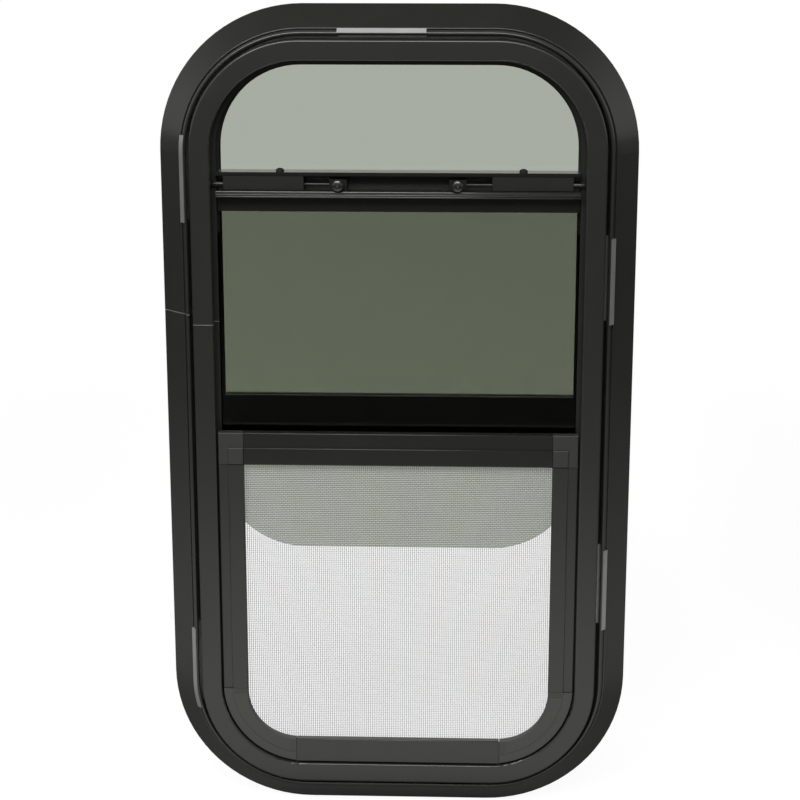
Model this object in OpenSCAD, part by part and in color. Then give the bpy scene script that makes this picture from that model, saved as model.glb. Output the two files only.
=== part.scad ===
// Caravan window with radius corners: a fixed upper pane, a vertical sash shown raised, and a lift-out insect
// screen. Each sub-part is drawn flat, as seen from the room: x to the right, y up from the window's middle,
// and z from the wall's outer skin towards the room. stand_up() then sets it upright in the part's own frame.

/* [Frame] */
// Width of the frame body that passes through the wall
frame_w = 298.5; // [270:0.5:340]
// Height of the frame body
frame_h = 565; // [520:0.5:640]
// Corner radius of the frame body, outside
frame_r = 79; // [70:1:95]
// Thickness of the bent frame extrusion
frame_t = 1.6; // [1.2:0.1:2.2]
// Thickness of the wall between flange and trim ring
wall_t = 25; // [20:1:38]
// How far the frame's room face stands clear of the wall
face_out = 26.4; // [25:0.2:32]
// Width of the frame's room face
face_w = 15; // [13:0.2:16]
// Depth of the lip rolled back from the room face
lip_d = 5.4; // [4:0.2:6.4]
// Width of the outer flange
flange_w = 17; // [14:1:22]
// Thickness of the outer flange
flange_t = 2.2; // [1.6:0.1:3]
// Distance of each weep slot from the middle
weep_x = 40; // [30:1:60]
// Height of the frame's butt joint above the middle
joint_y = 76.6; // [40:0.2:110]
// Width of the hairline at each butt joint
joint_gap = 0.3; // [0.2:0.1:0.6]

/* [Trim ring] */
// How far the trim ring reaches past the frame body
ring_lap = 23.75; // [20:0.25:28]
// Thickness of the trim ring's metal
ring_t = 1.5; // [1.2:0.1:2]
// Gap between the trim ring and the frame body
ring_gap = 2.6; // [2.2:0.1:3.4]
// How much larger the ring's bend radius is than the frame's
ring_ease = 2; // [0:0.2:3]
// How far the ring's inner bead stays behind the frame's room face
bead_drop = 4.4; // [3:0.2:6]
// Width of the bead along the ring's inner edge
bead_w = 3; // [2.4:0.1:3.6]
// Length of a ring clip
clip_len = 63; // [40:1:70]

/* [Glazing] */
// Thickness of both panes
glass_t = 3; // [2.5:0.1:4]
// How far the glazing legs reach in from the frame body
leg_in = 19.3; // [18:0.1:21]
// Bite of the frame's rubber over the edge of a pane
glass_bite = 5; // [4:0.5:7]
// Height of the meeting rail's top edge above the middle
meeting_top = 19.4; // [10:0.2:30]
// Height of the meeting rail
meeting_h = 32; // [28:1:40]

/* [Sash] */
// How far the sash is raised, in per cent of its travel, at one of its three latch stops
sash_raised = 100; // [0:50:100]
// How far the raised sash's top stays below the frame's upper bends
top_stop = 15.4; // [12:0.2:30]
// How far the closed sash's top stays below the meeting rail's top
top_drop = 2; // [0:0.5:4]
// Height of the sash rail
rail_h = 29.5; // [28:0.5:31]
// Clearance between the sash rail and the frame's track at each end
rail_gap = 0.6; // [0.4:0.1:1]
// Distance of each latch knob from the middle
knob_x = 43; // [36:0.5:56]
// Diameter of a latch knob's head
knob_w = 8.4; // [7:0.2:9.4]
// Width of the slide behind a latch knob
slide_w = 12.6; // [10:0.2:16]
// Distance of the left domed button from the rail's end
button_left = 46; // [32:0.5:54]
// Distance of the right domed button from the rail's end
button_right = 41; // [32:0.5:54]
// Distance of a latch cover plate's inner end from the middle
cover_in = 67.7; // [60:0.1:80]
// Distance of its outer end from the end of the rail
cover_out = 5.2; // [2:0.2:10]

/* [Screen] */
// Clearance between the screen frame and the frame's lip
screen_gap = 1; // [0.6:0.2:3]
// Height of the screen's top edge above the middle
screen_top = -4.6; // [-12:0.2:-2]
// Width of the screen's side stiles
stile_w = 18.8; // [16:0.2:22]
// Height of the screen's top rail
top_rail_h = 24.2; // [20:0.2:28]
// Depth of the screen frame
screen_d = 8; // [6:0.5:9]
// How far the screen frame sits behind the frame's room face
screen_set = 1.5; // [0.5:0.5:2]
// Thickness of the mesh sheet
mesh_t = 0.4; // [0.3:0.1:0.8]
// Width of the outer band on the screen's stiles
stile_band = 7.2; // [5:0.2:10]
// Height of the outer band on the screen's top rail
top_band = 11.2; // [9:0.2:14]
// How far the outer band is set back
band_step = 1.2; // [0.6:0.2:2]
// How much tighter the bend of the screen's opening is than its frame's
corner_fill = 6.5; // [0:0.5:10]

/* [Hidden] */
$fn = 96;

black_metal = "#232323";
rubber_black = "#151515";
clip_grey = "#8d8f8e";
glass_tint = [0.72, 0.76, 0.70, 0.45];
half_w = frame_w / 2;
half_h = frame_h / 2;
// The origin is on the flange's wall side, halfway across the flange's width at the bottom
middle_z = half_h + flange_w / 2;
hair = 0.3;

// Depths, measured from the wall's outer skin towards the room
face_z = wall_t + face_out;
track_front_in = 13.9;
track_back_in = 25.1;
track_front_z = face_z - track_front_in;
track_back_z = face_z - track_back_in;
sash_glass_z = (track_front_z + track_back_z - glass_t) / 2;
fixed_glass_z = track_back_z - 2.3 - glass_t;
glazing_leg_z = fixed_glass_z - 1.5 - frame_t;
rail_back_z = track_back_z + frame_t + 0.6;
bolt_z = track_front_z + 2.3;
rail_front_z = face_z - 8;
glass_top_drop = 16.2;
screen_front_z = face_z - screen_set;
screen_back_z = screen_front_z - screen_d;

// Sash places, in heights from the window's middle
glass_in = 4.8;
closed_bottom = -half_h + leg_in - glass_in;
closed_top = meeting_top - top_drop;
sash_h = closed_top - closed_bottom;
sash_travel = half_h - frame_r - top_stop - closed_top;
sash_top = closed_top + sash_travel * sash_raised / 100;
sash_bottom = sash_top - sash_h;
rail_half = half_w - leg_in + 1.6 - rail_gap;
bolt_drop = 9;
rail_top_t = 2.6;
trough_drop = 13;
cover_ease = 0.3;
bolt_y = sash_top - bolt_drop;
ring_r = frame_r + ring_ease;

// The ring's bead and groove, and its clips: side, lowest and highest end above the middle
bead_top = face_z - bead_drop;
slope_top = bead_top - 4.4;
groove_out = ring_gap + bead_w + 0.9;
groove_z = slope_top - 0.9;
clip_ease = 0.2;
bend = half_h - ring_r;
clip_spans = [
    [-1, bend - clip_len * 0.79, bend + clip_len * 0.21],
    [1, bend - clip_len * 1.95, bend - clip_len * 0.95],
    [-1, -bend - clip_len * 0.36, -bend + clip_len * 0.67],
    [1, -bend + clip_len * 0.71, -bend + clip_len * 1.71]
];

// Sets a drawing made flat upright, with the room at minus Y
module stand_up() translate([0, 0, middle_z]) rotate([90, 0, 0]) children();

// Sweeps a profile round a rectangle with rounded corners: profile x is the distance out from the path
module sweep_ring(w, h, r) {
    for (turn = [0 : 3]) {
        across = turn % 2 == 0 ? w : h;
        along = turn % 2 == 0 ? h : w;
        rotate(90 * turn) {
            translate([across / 2, along / 2 - r, 0]) rotate([90, 0, 0]) linear_extrude(along - 2 * r) children();
            translate([across / 2 - r, along / 2 - r, 0]) rotate_extrude(angle = 90) translate([r, 0]) children();
        }
    }
}

// Extrudes a profile along x, centred: profile x is the height and profile y the depth
module run_across(length) rotate([90, 0, 90]) translate([0, 0, -length / 2]) linear_extrude(length) children();

// A flat plate with rounded corners, from depth z0 to z1
module rounded_plate(w, h, r, z0, z1) {
    translate([0, 0, z0]) linear_extrude(z1 - z0) {
        square([w - 2 * r, h], center = true);
        square([w, h - 2 * r], center = true);
        for (x = [-1, 1], y = [-1, 1]) translate([x * (w / 2 - r), y * (h / 2 - r)]) circle(r);
    }
}

// A box given by its lowest and highest corners
module box(low, high) translate(low) cube(high - low);

// Everything between two heights
module keep_between(y0, y1) {
    intersection() {
        children();
        box([-frame_w, y0, -frame_w], [frame_w, y1, frame_w]);
    }
}

// The frame extrusion: flange, web, three legs, room face and rolled lip
module frame_profile() {
    translate([-frame_t, -flange_t]) square([flange_w + frame_t - flange_t / 2, flange_t]);
    translate([flange_w - flange_t / 2, -flange_t / 2]) circle(flange_t / 2);
    translate([-frame_t, -flange_t]) square([frame_t, face_z + flange_t - frame_t]);
    translate([-frame_t, face_z - frame_t]) circle(frame_t);
    translate([-face_w + frame_t, face_z - frame_t]) square([face_w - 2 * frame_t, frame_t]);
    translate([-face_w + frame_t, face_z - frame_t]) circle(frame_t);
    translate([-face_w, face_z - lip_d]) square([frame_t, lip_d - frame_t]);
    translate([-leg_in + 1.6, track_front_z - frame_t]) square([leg_in - 1.6, frame_t]);
    translate([-leg_in, track_back_z]) square([leg_in, frame_t]);
    translate([-leg_in, glazing_leg_z]) square([leg_in, frame_t]);
}

// A hairline cut on the left side, from the outer edge in
module butt_joint(y) box([-half_w - ring_lap - 1, y, -flange_t - 1], [0, y + joint_gap, face_z + 1]);

module main_frame() {
    color(black_metal) stand_up() difference() {
        sweep_ring(frame_w, frame_h, frame_r) frame_profile();
        butt_joint(joint_y);
        // Weep slots through the web's sill, between the glazing leg and the flange
        for (x = [-weep_x, weep_x]) box([x - 9, -half_h - 1, glazing_leg_z - 8], [x + 9, -half_h + frame_t + 1,
            glazing_leg_z - 4]);
    }
}

// The trim ring: a foot on the wall, a sloped face that ends in a fine ridge, a groove and a round bead
module ring_profile() {
    bead_r = bead_w / 2;
    ridge_r = 0.7;
    ridge_x = groove_out + ridge_r;
    ridge_z = slope_top - ridge_r + 0.15;
    polygon([
        [ring_lap, wall_t], [ring_lap, wall_t + ring_t], [ridge_x, slope_top], [groove_out, ridge_z],
        [groove_out, groove_z], [ring_gap + bead_w, groove_z], [ring_gap + bead_w, bead_top - bead_r],
        [ring_gap, bead_top - bead_r], [ring_gap, wall_t + 8], [ring_gap + ring_t, wall_t + 8],
        [ring_gap + ring_t, groove_z - ring_t], [ridge_x, groove_z - ring_t],
        [ring_lap - 2.6, wall_t + ring_t], [ring_lap - 6, wall_t + ring_t], [ring_lap - 6, wall_t]
    ]);
    translate([ring_gap + bead_r, bead_top - bead_r]) circle(bead_r);
    translate([ridge_x, ridge_z]) circle(ridge_r);
}

module trim_ring() {
    color(black_metal) stand_up() difference() {
        sweep_ring(frame_w, frame_h, ring_r) ring_profile();
        butt_joint(joint_y + 6.6);
        for (span = clip_spans) side_length(span, clip_ease) clip_slot();
        top_length(clip_ease) clip_slot();
    }
}

// Part of a profile swept along the ring's left or right side, between two heights. It follows the bend.
module side_length(span, ease) {
    mirror([span[0] > 0 ? 0 : 1, 0, 0]) intersection() {
        sweep_ring(frame_w, frame_h, ring_r) children();
        box([0, span[1] - ease, 0], [frame_w, span[2] + ease, face_z]);
    }
}

// Part of a profile along the middle of the ring's top
module top_length(ease) {
    rotate(90) translate([half_h, clip_len * 0.68 + ease, 0]) rotate([90, 0, 0])
        linear_extrude(clip_len + 2 * ease) children();
}

// Slot through the groove's floor for a clip's web
module clip_slot() translate([ring_gap + bead_w, groove_z - ring_t - 1])
    square([groove_out - ring_gap - bead_w, ring_t + 1.5]);

// A spring clip: a strip that leans over the bead and the groove, a web through the slot, and a foot that
// presses on the frame body behind the ring
module clip_profile() {
    clip_t = 0.5;
    strip = [3, -3.1];
    thick = [0.43, 0.42];
    start = [ring_gap + bead_w / 2 + 0.1, bead_top + 0.9];
    web_x = ring_gap + bead_w + 0.2;
    foot_z = wall_t + 6;
    polygon([start, start + strip, start + strip + thick, start + thick]);
    translate([web_x, foot_z]) square([clip_t, bead_top - 0.7 - foot_z]);
    translate([0.1, foot_z]) square([web_x + clip_t - 0.1, clip_t]);
}

module side_clip(span) {
    color(clip_grey) stand_up() difference() {
        side_length(span, 0) clip_profile();
        rounded_plate(frame_w + 0.2, frame_h + 0.2, frame_r + 0.1, 0, face_z);
    }
}
module ring_clip_top() {
    color(clip_grey) stand_up() top_length(0) clip_profile();
}
module ring_clip_upper_left() side_clip(clip_spans[0]);
module ring_clip_upper_right() side_clip(clip_spans[1]);
module ring_clip_lower_left() side_clip(clip_spans[2]);
module ring_clip_lower_right() side_clip(clip_spans[3]);

module fixed_glass() {
    grow = leg_in - glass_bite;
    color(glass_tint) stand_up() keep_between(meeting_top - 9, half_h)
        rounded_plate(frame_w - 2 * grow, frame_h - 2 * grow, frame_r - grow, fixed_glass_z, fixed_glass_z + glass_t);
}

// Rubber channel round the fixed pane, between the frame's glazing legs
module glazing_gasket() {
    lip = 0.4;
    color(rubber_black) stand_up() keep_between(meeting_top + hair, half_h)
        sweep_ring(frame_w, frame_h, frame_r) difference() {
            translate([-leg_in + lip, glazing_leg_z + frame_t])
                square([glass_bite + 3, track_back_z - glazing_leg_z - frame_t]);
            translate([-leg_in - 1, fixed_glass_z]) square([glass_bite + 1, glass_t]);
        }
}

module meeting_rail() {
    front = track_back_z + frame_t;
    rear = glazing_leg_z - 1;
    end_gap = hair;
    color(black_metal) stand_up() difference() {
        union() {
            run_across(frame_w - 2 * leg_in - 2 * end_gap)
                translate([meeting_top - meeting_h, rear]) square([meeting_h, front - rear]);
            run_across(frame_w - 2 * leg_in + 20)
                translate([meeting_top - meeting_h, glazing_leg_z + frame_t + hair])
                    square([meeting_h, track_back_z - glazing_leg_z - frame_t - 2 * hair]);
        }
        // Slot for the lower edge of the fixed pane
        run_across(frame_w) translate([meeting_top - 9.5, fixed_glass_z - 0.2]) square([20, glass_t + 0.4]);
        // Groove for the pile
        run_across(frame_w) translate([meeting_top - meeting_h + 2, front - 1.2]) square([5, 3]);
    }
}

module meeting_rail_pile() {
    front = track_back_z + frame_t;
    color(rubber_black) stand_up() run_across(frame_w - 2 * leg_in - 4)
        translate([meeting_top - meeting_h + 2.2, front - 1.2]) square([4.6, 1.5]);
}

// Flocked rubber channel that the sash's edges run in, down both sides and round the bottom
module run_channel() {
    color(rubber_black) stand_up() keep_between(-half_h, half_h - frame_r)
        sweep_ring(frame_w, frame_h, frame_r) difference() {
            translate([-leg_in + 2.6, track_back_z + frame_t])
                square([leg_in - frame_t - 3, track_front_z - track_back_z - 2 * frame_t]);
            translate([-leg_in, sash_glass_z - 0.3]) square([leg_in - frame_t - 2, glass_t + 0.6]);
        }
}

// Strip in the frame's front pocket with a hole for the latch bolt at each stop of the sash
module latch_strip(side) {
    closed_bolt = closed_top - bolt_drop;
    below = 20;
    above = 14;
    color(black_metal) stand_up() mirror([side > 0 ? 0 : 1, 0, 0]) difference() {
        box([half_w - face_w + 2, closed_bolt - below, track_front_z + 0.2],
            [half_w - face_w + 3.5, closed_bolt + sash_travel + above, face_z - lip_d - 0.2]);
        for (stop = [0, 0.5, 1]) translate([half_w - face_w, closed_bolt + stop * sash_travel, bolt_z])
            rotate([0, 90, 0]) cylinder(d = 5, h = 6);
    }
}
module latch_strip_left() latch_strip(-1);
module latch_strip_right() latch_strip(1);

module sash_glass() {
    half = half_w - leg_in + glass_in;
    round_r = frame_r - leg_in + glass_in;
    body_h = sash_h - glass_top_drop;
    color(glass_tint) stand_up() translate([0, sash_bottom, sash_glass_z]) linear_extrude(glass_t) {
        translate([-half, round_r]) square([2 * half, body_h - round_r - rail_h]);
        translate([-half + round_r, 0]) square([2 * (half - round_r), round_r]);
        translate([-rail_half + 1, round_r]) square([2 * rail_half - 2, body_h - round_r]);
        for (x = [-1, 1]) intersection() {
            translate([x * (half - round_r), round_r]) circle(round_r);
            translate([-half, 0]) square([2 * half, round_r]);
        }
    }
}

// Sash rail: a front-open latch trough above a slot that holds the glass, with a ribbed lip to pull it by
module rail_profile() {
    trough_floor = -trough_drop;
    lip_h = 5.2;
    lip_z = face_z - 5;
    slot_z = sash_glass_z + glass_t + 0.6;
    wall = 1.2;
    // Each rib's height below the trough's floor, radius, and centre behind the lip's front
    ribs = [[1.4, 1.4, 1.5], [3.2, 0.6, 1], [4.5, 0.65, 1.05]];
    translate([-rail_top_t, rail_back_z]) square([rail_top_t, rail_front_z - rail_back_z]);
    translate([-rail_h, rail_back_z]) square([rail_h, wall]);
    translate([trough_floor - 1.6, rail_back_z]) square([1.6, rail_front_z - rail_back_z]);
    translate([trough_floor - lip_h, rail_front_z - 5]) square([lip_h, lip_z - 1.1 - rail_front_z + 5]);
    for (rib = ribs) translate([trough_floor - rib[0], lip_z - rib[2]]) circle(rib[1]);
    translate([-rail_h, slot_z]) square([rail_h + trough_floor, 1.6]);
    translate([trough_floor - 3, slot_z]) square([3, rail_front_z - slot_z]);
}
module sash_rail() {
    color(black_metal) stand_up() translate([0, sash_top, 0]) run_across(2 * rail_half) rail_profile();
}

// Rubber channel that wedges the glass in the rail's slot
module sash_rail_gasket() {
    color(rubber_black) stand_up() translate([0, sash_top, 0]) difference() {
        run_across(2 * rail_half - 2) translate([-rail_h, sash_glass_z - 0.6])
            square([rail_h - glass_top_drop + 1.4, glass_t + 1.2]);
        run_across(2 * rail_half + 2) translate([-rail_h - 1, sash_glass_z])
            square([rail_h - glass_top_drop + 1.2, glass_t]);
    }
}

module latch_cover(side) {
    cover_len = rail_half - cover_out - cover_in;
    cover_x = side * (cover_in + cover_len / 2);
    color("#2b2b2b") stand_up() translate([cover_x, sash_top, 0]) run_across(cover_len)
        translate([-trough_drop + cover_ease, rail_front_z - 1.6])
            square([trough_drop - rail_top_t - 2 * cover_ease, 1.4]);
}
module latch_cover_left() latch_cover(-1);
module latch_cover_right() latch_cover(1);

// Latch slide in the rail's trough, a rod behind the cover plate, and a bolt that enters the latch strip
module latch_bolt(side) {
    bolt_end = half_w - face_w + 5;
    nose = 1.4;
    bolt_start = rail_half - 10;
    color(black_metal) stand_up() mirror([side > 0 ? 0 : 1, 0, 0]) {
        box([knob_x - slide_w / 2, bolt_y - 3.7, bolt_z - 3.2],
            [knob_x + slide_w / 2, bolt_y + 3.7, bolt_z + 1.4]);
        translate([knob_x, bolt_y, bolt_z]) rotate([0, 90, 0]) cylinder(d = 2.2, h = bolt_start + 2 - knob_x);
        translate([bolt_start, bolt_y, bolt_z]) rotate([0, 90, 0]) {
            cylinder(d = 3.6, h = bolt_end - nose - bolt_start);
            translate([0, 0, bolt_end - nose - bolt_start]) cylinder(d1 = 3.6, d2 = 2, h = nose);
        }
    }
}
module latch_bolt_left() latch_bolt(-1);
module latch_bolt_right() latch_bolt(1);

// Round knob: a foot on the slide, a neck, and a domed head in front of the rail's lip
module latch_knob(side) {
    foot_z = bolt_z + 1.4;
    head_z = face_z - 4.4;
    head_t = 1.6;
    color(black_metal) stand_up() translate([side * knob_x, bolt_y, foot_z]) {
        cylinder(d = 7.4, h = 1.2);
        cylinder(d = knob_w * 0.55, h = head_z - foot_z + 0.5);
        translate([0, 0, head_z - foot_z]) {
            cylinder(d = knob_w, h = head_t);
            intersection() {
                translate([0, 0, -7]) sphere(10);
                cylinder(d = knob_w - 1, h = 2 * head_t);
            }
        }
    }
}
module latch_knob_left() latch_knob(-1);
module latch_knob_right() latch_knob(1);

module rail_button(place) {
    color(rubber_black) stand_up() translate([place, sash_top, face_z - 13]) rotate([-90, 0, 0]) {
        cylinder(d = 6, h = 1.2);
        intersection() {
            translate([0, 0, -1.4]) sphere(4);
            cylinder(d = 6, h = 4);
        }
    }
}
module rail_button_left() rail_button(button_left - rail_half);
module rail_button_right() rail_button(rail_half - button_right);

// Screen frame. Its outline follows the frame's lip with a small gap.
screen_in = face_w + screen_gap;
screen_w = frame_w - 2 * screen_in;
screen_h = frame_h - 2 * screen_in;
screen_r = frame_r - screen_in;
screen_half = screen_w / 2;
// The opening inside the stiles and the bottom rail, and where its bottom corner pieces end
open_w = screen_w - 2 * stile_w;
open_h = screen_h - 2 * stile_w;
open_r = screen_r - stile_w - corner_fill;
corner_x = open_w / 2 - open_r + 1.2;
corner_y = -open_h / 2 + open_r + 3;
step_w = 3;
step_d = 2.4;
spline_r = 1.5;
groove_w = 2 * spline_r + 0.4;
groove_d = 4.2;

// Section of a flat band with eased front edges
module eased_band(x0, x1, front) {
    ease = 0.8;
    translate([x0, screen_back_z]) square([x1 - x0, front - ease - screen_back_z]);
    translate([x0 + ease, screen_back_z]) square([x1 - x0 - 2 * ease, front - screen_back_z]);
    for (x = [x0 + ease, x1 - ease]) translate([x, front - ease]) circle(ease);
}

// Stile and top rail: a raised band along the opening and an outer band that is set back
module stepped_band(x0, x1, band) {
    eased_band(x0, x1 - band, screen_front_z);
    eased_band(x1 - band - 2, x1, screen_front_z - band_step);
}

// What is cut from a rail's outer side: the spline groove, and a step that the mesh lies on
module spline_cut() {
    translate([step_w, screen_back_z - 1]) square([groove_w, groove_d + 1]);
    translate([-1, screen_back_z - 1]) square([step_w + 1.1, step_d + 1]);
}

module keep_x(x0, x1) {
    intersection() {
        children();
        box([x0, -frame_h, -frame_w], [x1, frame_h, frame_w]);
    }
}

module screen_stile(side) {
    color(black_metal) stand_up() mirror([side > 0 ? 0 : 1, 0, 0])
        keep_between(corner_y + hair, screen_top - top_rail_h - hair)
            translate([screen_half, screen_top, 0]) rotate([90, 0, 0]) linear_extrude(screen_h / 2)
                difference() {
                    stepped_band(-stile_w, 0, stile_band);
                    translate([-stile_w, 0]) spline_cut();
                }
}
module screen_stile_left() screen_stile(-1);
module screen_stile_right() screen_stile(1);

module screen_bottom_rail() {
    color(black_metal) stand_up() keep_x(-corner_x + hair, corner_x - hair)
        rotate(-90) translate([screen_h / 2, screen_half, 0]) rotate([90, 0, 0])
            linear_extrude(screen_w) difference() {
                eased_band(-stile_w, 0, screen_front_z);
                translate([-stile_w, 0]) spline_cut();
            }
}

// Moulded corner: its outer bend follows the frame's lip, its inner bend is tighter, and fine grooves mark its ends
module screen_corner_bottom(side) {
    ease = 0.8;
    line_w = 0.35;
    line_d = 0.25;
    line_pitch = 1.3;
    color("#2f2f2f") stand_up() mirror([side > 0 ? 0 : 1, 0, 0]) intersection() {
        difference() {
            rounded_plate(screen_w, screen_h, screen_r, screen_back_z, screen_front_z);
            rounded_plate(open_w, open_h, open_r, screen_back_z - 1, screen_front_z + 1);
            sweep_ring(open_w, open_h, open_r) spline_cut();
            sweep_ring(screen_w, screen_h, screen_r) mirror([1, 0]) ease_cut(ease);
            sweep_ring(open_w, open_h, open_r) ease_cut(ease);
            sweep_ring(screen_w, screen_h, screen_r) translate([-stile_band, screen_front_z - line_d])
                square([line_w, 1]);
            for (k = [1 : 3]) {
                box([open_w / 2 - 1, corner_y - k * line_pitch, screen_front_z - line_d],
                    [screen_half - stile_band - 0.6, corner_y - k * line_pitch + line_w, face_z]);
                box([corner_x + k * line_pitch, -screen_h / 2 + stile_band + 0.6, screen_front_z - line_d],
                    [corner_x + k * line_pitch + line_w, -open_h / 2 + 1, face_z]);
            }
        }
        box([corner_x, -half_h, 0], [half_w, corner_y, face_z]);
    }
}

// What rounds an edge of the room face: all outside a quarter circle
module ease_cut(ease) {
    difference() {
        translate([-1, screen_front_z - ease]) square([1 + ease, ease + 1]);
        translate([ease, screen_front_z - ease]) circle(ease);
    }
}
module screen_corner_bottom_left() screen_corner_bottom(-1);
module screen_corner_bottom_right() screen_corner_bottom(1);

module screen_top_rail() {
    color(black_metal) stand_up() run_across(screen_w - 2 * stile_w - 2 * hair) difference() {
        stepped_band(screen_top - top_rail_h, screen_top, top_band);
        translate([screen_top - top_rail_h, 0]) spline_cut();
    }
}

module screen_corner_top(side) {
    inner_x = screen_half - stile_w;
    low_y = screen_top - top_rail_h;
    groove_end = step_w + groove_w;
    color("#2f2f2f") stand_up() mirror([side > 0 ? 0 : 1, 0, 0]) difference() {
        intersection() {
            translate([screen_half, screen_top, 0]) rotate([90, 0, 0]) linear_extrude(top_rail_h)
                stepped_band(-stile_w, 0, stile_band);
            run_across(screen_w) stepped_band(low_y, screen_top, top_band);
        }
        box([inner_x - 1, low_y - 1, screen_back_z - 1], [inner_x + step_w, low_y + step_w, screen_back_z + step_d]);
        box([inner_x - 1, low_y + step_w, screen_back_z - 1],
            [inner_x + groove_end, low_y + groove_end, screen_back_z + groove_d]);
        box([inner_x + step_w, low_y - 1, screen_back_z - 1],
            [inner_x + groove_end, low_y + groove_end, screen_back_z + groove_d]);
    }
}
module screen_corner_top_left() screen_corner_top(-1);
module screen_corner_top_right() screen_corner_top(1);

// Rubber cord pressed into the groove round the mesh, flattened by the groove to eight sides
module screen_spline() {
    out = step_w + groove_w / 2;
    side_x = open_w / 2 + out;
    top_y = screen_top - top_rail_h + out;
    color(rubber_black) stand_up() {
        keep_between(-half_h, top_y + spline_r)
            sweep_ring(2 * side_x, open_h + 2 * out, open_r + out) cord_section();
        translate([0, top_y, 0]) run_across(2 * (side_x + spline_r)) cord_section();
    }
}
module cord_section() {
    flat = spline_r * tan(22.5);
    translate([0, screen_back_z + groove_d - spline_r - 0.1]) polygon([
        [spline_r, -flat], [spline_r, flat], [flat, spline_r], [-flat, spline_r],
        [-spline_r, flat], [-spline_r, -flat], [-flat, -spline_r], [flat, -spline_r]
    ]);
}

// Pile along the back of the screen's top rail, which brushes the sash glass below the closed sash's rail
module screen_bug_seal() {
    front = sash_glass_z + glass_t + 0.3;
    color(rubber_black) stand_up() run_across(open_w)
        translate([screen_top - 12, front]) square([3.4, screen_back_z - front]);
}

// Sheet with a plain grid of openings that stands for the fine weave
module screen_mesh() {
    cells = 12;
    bar = 2.4;
    low_y = -open_h / 2;
    high_y = screen_top - top_rail_h;
    pitch_x = open_w / cells;
    pitch_y = (high_y - low_y) / cells;
    color("#6f6f6f") stand_up() difference() {
        intersection() {
            rounded_plate(open_w + 2 * step_w, open_h + 2 * step_w, open_r + step_w, screen_back_z + step_d - mesh_t,
                screen_back_z + step_d);
            box([-half_w, -half_h, 0], [half_w, high_y + step_w, face_z]);
        }
        intersection() {
            rounded_plate(open_w - bar, open_h - bar, open_r - bar / 2, screen_back_z, screen_front_z);
            for (column = [0 : cells - 1], row = [0 : cells - 1])
                translate([-open_w / 2 + column * pitch_x + bar / 2, low_y + row * pitch_y + bar / 2, screen_back_z])
                    cube([pitch_x - bar, pitch_y - bar, screen_d]);
        }
    }
}

// Small hood over each weep slot, on the outside of the sill
module weep_cover(side) {
    color(rubber_black) stand_up() translate([side * weep_x, -half_h + frame_t, glazing_leg_z - 6]) difference() {
        box([-12, 0, -4], [12, 3.4, 4]);
        box([-10, -1, -5], [10, 2, 3]);
    }
}
module weep_cover_left() weep_cover(-1);
module weep_cover_right() weep_cover(1);

main_frame();
trim_ring();
ring_clip_top();
ring_clip_upper_left();
ring_clip_upper_right();
ring_clip_lower_left();
ring_clip_lower_right();
fixed_glass();
glazing_gasket();
meeting_rail();
meeting_rail_pile();
run_channel();
latch_strip_left();
latch_strip_right();
sash_glass();
sash_rail();
sash_rail_gasket();
latch_cover_left();
latch_cover_right();
latch_bolt_left();
latch_bolt_right();
latch_knob_left();
latch_knob_right();
rail_button_left();
rail_button_right();
screen_top_rail();
screen_stile_left();
screen_stile_right();
screen_bottom_rail();
screen_corner_top_left();
screen_corner_top_right();
screen_corner_bottom_left();
screen_corner_bottom_right();
screen_spline();
screen_bug_seal();
screen_mesh();
weep_cover_left();
weep_cover_right();
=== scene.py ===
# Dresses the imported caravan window: finishes for every CAD part, the woven insect mesh, the pile strips, and
# a plain studio. Lengths are in metres, in the part's own frame: the room at -Y, +Z up, +X to the right.
import math
import random

import bmesh
import bpy
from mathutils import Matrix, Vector


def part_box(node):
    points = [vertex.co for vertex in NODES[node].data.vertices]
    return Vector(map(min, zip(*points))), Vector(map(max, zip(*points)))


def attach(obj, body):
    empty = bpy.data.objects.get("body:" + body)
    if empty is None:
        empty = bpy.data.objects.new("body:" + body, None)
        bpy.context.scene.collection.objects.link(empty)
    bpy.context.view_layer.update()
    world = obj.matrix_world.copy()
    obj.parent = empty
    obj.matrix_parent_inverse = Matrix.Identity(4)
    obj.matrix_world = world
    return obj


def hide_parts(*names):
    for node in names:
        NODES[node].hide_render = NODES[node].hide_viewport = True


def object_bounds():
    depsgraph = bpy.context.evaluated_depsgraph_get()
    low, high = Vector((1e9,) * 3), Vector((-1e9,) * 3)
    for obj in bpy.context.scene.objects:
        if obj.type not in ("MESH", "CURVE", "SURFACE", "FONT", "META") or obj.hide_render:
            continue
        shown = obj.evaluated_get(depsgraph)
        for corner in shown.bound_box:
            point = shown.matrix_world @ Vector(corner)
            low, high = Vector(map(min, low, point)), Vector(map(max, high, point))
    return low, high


bl_info = {
    "name": "Caravan window looks",
    "version": (1, 0, 0),
    "blender": (4, 5, 0),
    "location": "3D View > Sidebar > Window",
    "description": "Finishes, insect mesh, pile and studio for a caravan window",
    "category": "Object",
}

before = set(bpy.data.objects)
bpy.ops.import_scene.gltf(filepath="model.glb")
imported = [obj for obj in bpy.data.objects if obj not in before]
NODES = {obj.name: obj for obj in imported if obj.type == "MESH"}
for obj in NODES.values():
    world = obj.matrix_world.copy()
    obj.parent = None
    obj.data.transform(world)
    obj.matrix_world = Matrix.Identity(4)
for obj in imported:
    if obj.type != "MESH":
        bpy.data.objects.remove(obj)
CAD_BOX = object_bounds()

# Coated, moulded and rubber finishes: size and strength of the handling marks, the noise levels between which
# they come up, how far they dull the sheen, the grain's share of the bump, and the clear coat's own roughness
MARK_SCALE = 38.0
MARK_AMOUNT = 0.5
MARK_LEVELS = (0.52, 0.80)
MARK_DULLING = 0.16
GRAIN_STRENGTH = 0.35
COAT_ROUGHNESS = 0.18

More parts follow.
